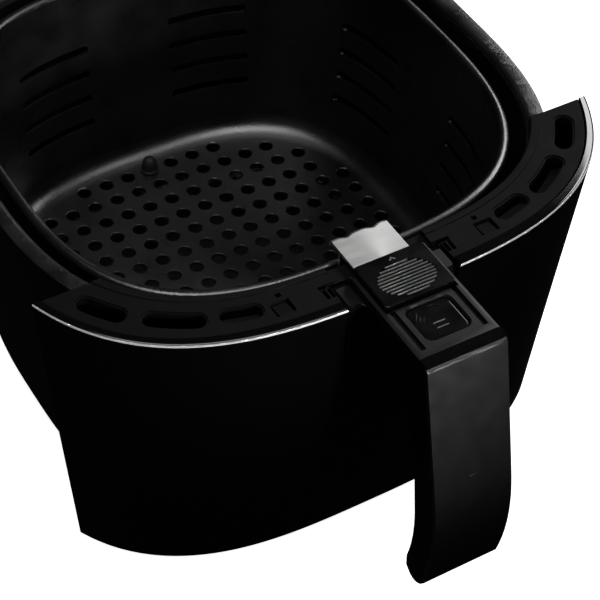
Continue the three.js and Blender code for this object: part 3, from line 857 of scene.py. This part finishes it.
def make_bracket(material):
    z0, z1 = PLATE_Z
    count = 48
    loops = []
    for k in range(count + 1):
        x = mix(-PLATE_HALF, PLATE_HALF, k / count)
        back = plate_edge(x)
        section = fillet([
            (-168, z0, 0.3), (-124.6, z0), (-118.4 - back, z0, 1.5), (-116.6 - back, z0 - 2.5, 0.3),
            (-115.2 - back, z0 - 2.3, 0.3), (-116.9 - back, z1, 2.4), (-168, z1, 0.4)], 4)
        loops.append([(x, y, z) for y, z in section])
    bracket = make("steel_bracket", [loft(loops)], material)

    def wall(z):
        return -(basket_half(z) + BASKET_WALL + 0.6)

    leg = fillet([
        (-126, z0 + 0.6), (-126, 156, 3), (wall(144) - SHEET, 144, 3), (wall(118) - SHEET, 118, 0.4),
        (wall(118), 118, 0.4), (wall(144), 144, 3), (-124.6, 156.4, 3), (-124.6, z0 + 0.6)], 4)
    combine(bracket, [side(leg, (-PLATE_HALF, PLATE_HALF))], "UNION")
    cuts = []
    for sx in (-1, 1):
        cuts.append(bore((sx * RIVET["x"], -100, RIVET["z"]), (0, -1, 0), 30, 1.9))
        cuts.append(bore((sx * BRACKET_SCREW["x"], BRACKET_SCREW["y"], 160), (0, 0, 1), 20))
    combine(bracket, cuts)
    bevel(bracket, 0.3, 2, 60)
    settle(bracket, "basket", ["basket_bracket"], 30)


def make_keeper(material):
    base, top = 126, 158.5
    wall, front, lip_end = -132.6, -150.4, -147.2
    lip_low, lip_top = 137.2, 139.2
    outline = fillet([
        (wall, top, 0.4), (wall, base, 2), (front, base, 2), (front, lip_top, 1), (lip_end, lip_top, 0.3),
        (lip_end, lip_low, 0.3), (front + SHEET, lip_low, 0.3), (front + SHEET, base + SHEET, 1),
        (wall - SHEET, base + SHEET, 1), (wall - SHEET, top, 0.4)], 4)
    keeper = make("catch_plate", [side(outline, (-12, 12))], material)
    for sx in (-1, 1):
        combine(keeper, [bore((sx * KEEPER_SCREW["x"], -125, KEEPER_SCREW["z"]), (0, -1, 0), 20)])
    bevel(keeper, 0.25, 2, 60)
    settle(keeper, "pan", ["latch_keeper"], 30)


def make_panel_bracket(node, material):
    low, high = (tuple(c / MM for c in corner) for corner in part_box(node))
    inner = pan_half(20) + 0.4
    outline = fillet([
        (-133, low[2], 0.3), (-inner + 0.2, low[2], 0.3), (-inner - 1.0, 28, 0.3), (-inner - 2.8, 28, 0.3),
        (-inner - 1.8, low[2] + 1.8, 1.5), (-133, low[2] + 1.8, 0.3)], 4)
    bracket = make("angle_" + node, [side(outline, (low[0], high[0]))], material)
    middle = (low[0] + high[0]) / 2
    combine(bracket, [bore((middle, PANEL_SCREW["y"], 0), (0, 0, 1), 14)])
    bevel(bracket, 0.25, 2, 60)
    settle(bracket, "pan", [node], 30)


# ---- handle ----
def arc_points(start, control, end, steps=10):
    """Points along a quadratic curve, without its start."""
    return [tuple(Vector(start) * (1 - t) ** 2 + Vector(control) * 2 * t * (1 - t) + Vector(end) * t * t)
            for t in (k / steps for k in range(1, steps + 1))]


def cubic_points(start, first, second, end, steps=14):
    """Points along a cubic curve, without its start."""
    points = []
    for k in range(1, steps + 1):
        t = k / steps
        points.append(tuple(
            Vector(start) * (1 - t) ** 3 + Vector(first) * 3 * t * (1 - t) ** 2
            + Vector(second) * 3 * t * t * (1 - t) + Vector(end) * t ** 3))
    return points


FOOT_Y = (-157.5, -140.0)
FOOT_Z = (141.2, 166.6)
COVER_PLATE = 2.5
CAVITY_FLOOR = 148.5


def grip_front(inset):
    """Front of the handle from its top to its lower tip."""
    points = [(-206.5 + inset, 173.5), (-214.7 + inset, 137), (-223 + inset, 100)]
    return points + arc_points((-223 + inset, 100), (-229.5 + inset, 71), (-221 + inset, 40), 16)


def grip_back():
    """Back of the handle from its lower tip up to the arm's underside."""
    points = arc_points((-221, 40), (-213, 29), (-205, 41))[:-1]
    points += arc_points((-205, 41), (-211.5, 62), (-208, 84))
    points += cubic_points((-205, 106), (-203, 128), (-191, 144), (-172, 145))
    return points


def make_handle_shell(material):
    inset = COVER_PLATE + GAP
    front = grip_front(inset)
    strip_back, seat = BEZEL_Y[0] - GAP, 169.7
    strip = fillet([
        (-204.9, 172.2, 0.3), (-205.9, 172.4, 0.3), (-205.4, HANDLE_TOP - 0.1, 0.5),
        (strip_back, HANDLE_TOP, 0.4), (strip_back, seat)], 3)
    outline = [(-206.5 + inset, 172.2)] + front[1:] + grip_back() + [
        (-160, 145), (FOOT_Y[0], FOOT_Z[0]), (FOOT_Y[1], FOOT_Z[0]), (FOOT_Y[1], 169.0), (-172.4, 169.0),
        (-172.6, seat), (strip_back, seat)] + strip[::-1][1:-1]
    shell = make("grip_shell", [side(outline, (-HANDLE_HALF, HANDLE_HALF))], material)
    half, front_y = NOTCH_HALF - 1, FOOT_Y[0] + 1
    foot = fillet([(-half, front_y, 1.2), (half, front_y, 1.2), (half, FOOT_Y[1]), (-half, FOOT_Y[1])], 4)
    combine(shell, [plan(foot, [(FOOT_Z[0], 0), (FOOT_Z[1], 0)])], "UNION")
    hollow = [(-240, 138), (-205.5, 138), (-209.3, 106)]
    hollow += arc_points((-209.3, 106), (-215.5, 72), (-210.5, 52)) + [(-240, 52)]
    combine(shell, [side(hollow, (-HANDLE_HALF + 3, HANDLE_HALF - 3))])
    combine(shell, [box((-13, 13), (-197, -170.6), (CAVITY_FLOOR, 180))])
    combine(shell, [box((-6, 6), (-172, -139), (CAVITY_FLOOR, 180))])
    combine(shell, [box((-6, 6), (-152, -139), (130, 180))])
    combine(shell, [bore((-10, *PIVOT), (1, 0, 0), 20)])
    for sx in (-1, 1):
        combine(shell, [bore((sx * BRACKET_SCREW["x"], BRACKET_SCREW["y"], 158), (0, 0, 1), 20)])
    mouth = -180  # behind the handle's back
    for name in ("upper", "lower"):
        low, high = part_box(f"grip_screw_{name}")
        z = (low[2] + high[2]) / 2 / MM
        depth = mouth - (high[1] / MM - 2.4)
        profile = [(3.6, 0), (3.6, depth), (BORE, depth), (BORE, 50)]
        combine(shell, [turned(profile, (0, mouth, z), (0, -1, 0), 28)])
    bevel(shell, 0.7, 3, 50)
    settle(shell, "basket", ["handle_shell"], 35)


def make_front_cover(material):
    outer = grip_front(0.1)
    inner = grip_front(COVER_PLATE)
    outline = fillet([(-206.4, 173.3, 2.2)] + outer[1:] + inner[:0:-1] + [(-204.0, 171.9)], 5)
    cover = make("grip_cover", [side(outline, (-HANDLE_HALF, HANDLE_HALF))], material)
    for name in ("upper", "lower"):
        low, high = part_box(f"grip_screw_{name}")
        z = (low[2] + high[2]) / 2 / MM
        start = low[1] / MM + 4
        combine(cover, [turned([(4, 0), (4, 9.5)], (0, start, z), (0, -1, 0), 32)], "UNION")
    bevel(cover, 0.8, 4, 60)
    settle(cover, "basket", ["handle_front_cover"], 30)


RAIL_INNER = 18.8
GROOVE_X = 15.9
GROOVE_W = 2.7
GROOVE_FRONT = -196.6
BASE_Z = 170.0


def make_bezel(material):
    top = HANDLE_TOP
    body = make("button_frame", [box((-HANDLE_HALF, HANDLE_HALF), BEZEL_Y, (BASE_Z, top))], material)
    rail_start = BEZEL_Y[1] - 1
    rail = [(rail_start, PLATE_Z[0]), (-160, PLATE_Z[0]), (-159, 167.2), (-142, 167.2), (-142, top - 2.4),
            (-146, top), (rail_start, top)]
    combine(body, [side(rail, (RAIL_INNER, HANDLE_HALF)), side(rail, (-HANDLE_HALF, -RAIL_INNER))], "UNION")
    hole = rounded_rect(11.5, 10.6, 4, (0, BUTTON_Y), 8)
    combine(body, [plan(hole, [(160, 0), (top - 0.9, 0), (top - 0.2, 0.5), (top + 1, 1.4)])])
    for sx in (-1, 1):
        xs = mirrored(sx, *centred(GROOVE_X, GROOVE_W))
        combine(body, [box(xs, (GROOVE_FRONT, -160), (BASE_Z + 1.2, 180))])
        out, inward = sx * (HANDLE_HALF + 1), sx * (HANDLE_HALF - 1.5)
        wedge = [(out, top + 0.5), (inward, top + 0.5), (inward, top), (out, top - 1.0)]
        combine(body, [loft([[(x, y, z) for x, z in wedge] for y in (-210, -130)])])
    inner, outer = 19.5, 27.6
    ear = fillet([(inner, -143), (outer, -143, 0.5), (outer, -155.2, 2), (22.6, -155.2, 1.6),
                  (20.5, -158.4), (inner, -158.4)], 5)
    levels = [(166.8, 0), (168.2, 0), (168.5, -0.3)]
    for sx in (-1, 1):
        combine(body, [plan([(sx * x, y) for x, y in ear], levels)], "UNION")
    bevel(body, 0.3, 2, 50)
    settle(body, "basket", ["handle_bezel"], 30)


OVAL = {"y": -158.0, "half": (14.2, 10.2), "ribs": 11}
COVER_HALF = 18.4
COVER_Y = (-170.1, -141.8)
COVER_Z = (174.4, 176.6)


def make_guard(material, rib_material):
    z0, z1 = COVER_Z
    y_mid = (COVER_Y[0] + COVER_Y[1]) / 2
    half_y = (COVER_Y[1] - COVER_Y[0]) / 2
    outline = rounded_rect(COVER_HALF, half_y, 2, (0, y_mid), 6)
    levels = [(z0, -0.3), (z0 + 0.3, 0), (z1 - 0.55, 0), (z1 - 0.25, -0.12), (z1 - 0.07, -0.36), (z1, -0.75)]
    guard = make("button_guard", [plan(outline, levels)], material)
    tongues = []
    for sx in (-1, 1):
        tongues.append(box(mirrored(sx, *centred(GROOVE_X, 2)), (-168, -156), (172, z0 + 1)))
    combine(guard, tongues, "UNION")
    ribs = []
    half_x, half_oval = OVAL["half"]
    pitch = 2 * half_oval / OVAL["ribs"]
    dish = [(half_x * math.cos(a), OVAL["y"] + half_oval * math.sin(a))
            for a in (2 * math.pi * k / 64 for k in range(64))]
    combine(guard, [plan(dish, [(z1 - 0.45, 0), (z1 - 0.1, 0.3), (z1 + 1, 1.2)])])
    for i in range(OVAL["ribs"]):
        off = (i + 0.5) * pitch - half_oval
        reach = half_x * math.sqrt(1 - (off / half_oval) ** 2) - 0.2
        section = [(OVAL["y"] + off + pitch * 0.21 * math.cos(a), z1 - 0.6 + 0.9 * math.sin(a))
                   for a in (math.pi * k / 8 for k in range(9))]
        ribs.append(side(section, (-reach, reach)))
    arrow = [(-1.7, -146.2), (0, -144.5), (1.7, -146.2), (1.1, -146.6), (0, -145.5), (-1.1, -146.6)]
    ribs.append(plan([(x, y + 0.4) for x, y in arrow], [(z1 - 0.1, 0), (z1 + 0.2, 0)]))
    settle(guard, "guard", ["slide_cover"], 30)
    grip = make("guard_ribs", ribs, rib_material)
    settle(grip, "guard", ["slide_cover"], 60)


BUTTON_LINES = (-0.8, -3.9)


def make_button(material, line_material):
    top = 172.6
    outline = rounded_rect(11.1, 10.2, 3.6, (0, BUTTON_Y), 8)
    button = make("push_button", [plan(outline, [
        (168, 0), (top - 0.8, 0), (top - 0.35, -0.15), (top - 0.1, -0.45), (top, -0.95)])], material)
    skirt = rounded_rect(12.6, 11.6, 3, (0, BUTTON_Y), 6)
    combine(button, [plan(skirt, [(166.5, 0), (169.2, 0)])], "UNION")
    combine(button, [box((-3.5, 3.5), (-181, -177), (159.8, 167))], "UNION")
    cup = [(9.5, 1.0), (9.3, 0.0), (9.2, -0.28), (7.5, -0.3), (7.4, -0.52), (5.9, -0.54), (5.8, -0.76),
           (0.01, -0.8)]
    combine(button, [turned(cup, (0, BUTTON_Y, top), (0, 0, 1), 64)])
    lines = []
    for off in BUTTON_LINES:
        bar = rounded_rect(3.1, 0.3, 0.28, (0.3, BUTTON_Y + off), 3)
        lines.append(plan(bar, [(top - 1.1, 0), (top - 0.6, 0), (top - 0.5, -0.1)]))
    mark = make("button_lines", lines, line_material)
    settle(mark, "button", ["release_button"], 60)
    settle(button, "button", ["release_button"], 18)


def make_spring(material):
    turns, per_turn, sides = 5, 32, 10
    radius, wire, z0, z1 = 3.0, 0.5, 149.5, 165.5
    loops = []
    for k in range(turns * per_turn + 1):
        t = k / (turns * per_turn)
        a = 2 * math.pi * turns * t
        out = Vector((math.cos(a), math.sin(a), 0))
        middle = Vector((0, -189.5, mix(z0, z1, t))) + out * radius
        loops.append([tuple(middle + out * wire * math.cos(b) + Vector((0, 0, wire * math.sin(b))))
                      for b in (2 * math.pi * j / sides for j in range(sides))])
    spring = make("coil_spring", [loft(loops)], material)
    settle(spring, "basket", ["button_spring"], 60)
    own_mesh(spring)


def make_latch(material, steel):
    outline = fillet([
        (-182, 156.5, 0.5), (-182, 159.5, 0.5), (-172, 159.5), (-152, 161), (-142.6, 161, 1),
        (-142.6, 132, 0.5), (-146.9, 132, 0.3), (-146.9, 133.5, 0.3), (-145, 136.5), (-145, 155, 1.5)], 4)
    lever = make("catch_lever", [side(outline, (-4, 4))], material)
    combine(lever, [turned([(4.2, 0), (4.2, 9.2)], (-4.6, *PIVOT), (1, 0, 0), 40)], "UNION")
    combine(lever, [bore((-10, *PIVOT), (1, 0, 0), 20, sides=32)])
    bevel(lever, 0.3, 2, 50)
    settle(lever, "latch", ["latch_lever"], 35)
    pin = make("pivot_pin", [turned(
        [(1.1, 0), (1.5, 0.4), (1.5, 17.6), (1.1, 18)], (-9, *PIVOT), (1, 0, 0), 32)], steel)
    settle(pin, "basket", ["latch_pin"], 35)


# ---- studio ----
def add_light(name, place, target, size, power):
    data = bpy.data.lights.new(name, "AREA")
    data.shape = "RECTANGLE"
    data.size, data.size_y = size
    data.energy = power
    light = bpy.data.objects.new(name, data)
    light.location = place
    light.rotation_euler = (Vector(target) - Vector(place)).to_track_quat("-Z", "Y").to_euler()
    bpy.context.scene.collection.objects.link(light)
    return light


def add_studio():
    """A pale floor with a painted shadow right under the drawer, where its glow is cut off, two soft boxes
    and a narrow front light.
    """
    made = Nodes("pale_floor", (0.9, 0.9, 0.9), 0.85, specular=0.1)
    made.vary_color(made.noise(3, 2), 0.02)
    length = made.tree.nodes.new("ShaderNodeVectorMath")
    length.operation = "LENGTH"
    made.link(made.place, length.inputs[0])
    # The floor's glow is nothing within 70 mm of the middle and full beyond 85 mm: a painted shadow under
    # the drawer.
    glow_with_painted_shadow = made.remap(length.outputs["Value"], 0.0, 0.9, 0.07, 0.085)
    made.shader.inputs["Emission Color"].default_value = (1, 1, 1, 1)
    made.link(glow_with_painted_shadow, made.shader.inputs["Emission Strength"])
    half = 6000
    corners = [(x * half, y * half, -0.4) for x, y in ((-1, -1), (1, -1), (1, 1), (-1, 1))]
    floor = make("floor", [(corners, [(0, 1, 2, 3)])], made.material)
    floor.visible_glossy = False
    floor.visible_diffuse = False
    world = bpy.data.worlds.new("studio")
    world.use_nodes = True
    world.node_tree.nodes["Background"].inputs["Color"].default_value = (0.004, 0.004, 0.004, 1)
    bpy.context.scene.world = world
    middle = (0, -0.05, 0.12)
    add_light("overhead", (-0.1, -0.3, 1.5), middle, (1.2, 0.7), 13)
    add_light("right_box", (1.2, 0.3, 1.05), middle, (1.2, 0.4), 16)
    front = add_light("front_fill", (0.15, -1.3, 0.45), (-0.03, -0.2, 0.19), (0.12, 0.08), 0.055)
    front.data.spread = math.radians(10.5)
    bpy.context.scene.view_settings.view_transform = "Standard"


# ---- assembly ----
add_camera()
COATING = nonstick()
GLOSS = gloss_black()
MATTE = matte_black()
SATIN = satin_black()
STEEL = brushed_steel()
PLATED = screw_steel()
RUBBER = silicone()

make_pan(COATING)
make_panel(GLOSS, gloss_edge())
make_trim(MATTE)
make_basket(COATING)
make_bumper(-1, "bumper_front", RUBBER)
make_bumper(1, "bumper_rear", RUBBER)
make_bracket(STEEL)
make_keeper(PLATED)
make_panel_bracket("panel_bracket_left", PLATED)
make_panel_bracket("panel_bracket_right", PLATED)
make_fasteners(PLATED)
make_rivet("bracket_rivet_left", -1, PLATED)
make_rivet("bracket_rivet_right", 1, PLATED)
make_handle_shell(GLOSS)
make_front_cover(SATIN)
make_bezel(bezel_black())
GREY = rib_grey()
make_guard(guard_black(), GREY)
make_button(button_black(), GREY)
make_spring(PLATED)
make_latch(MATTE, PLATED)
add_studio()
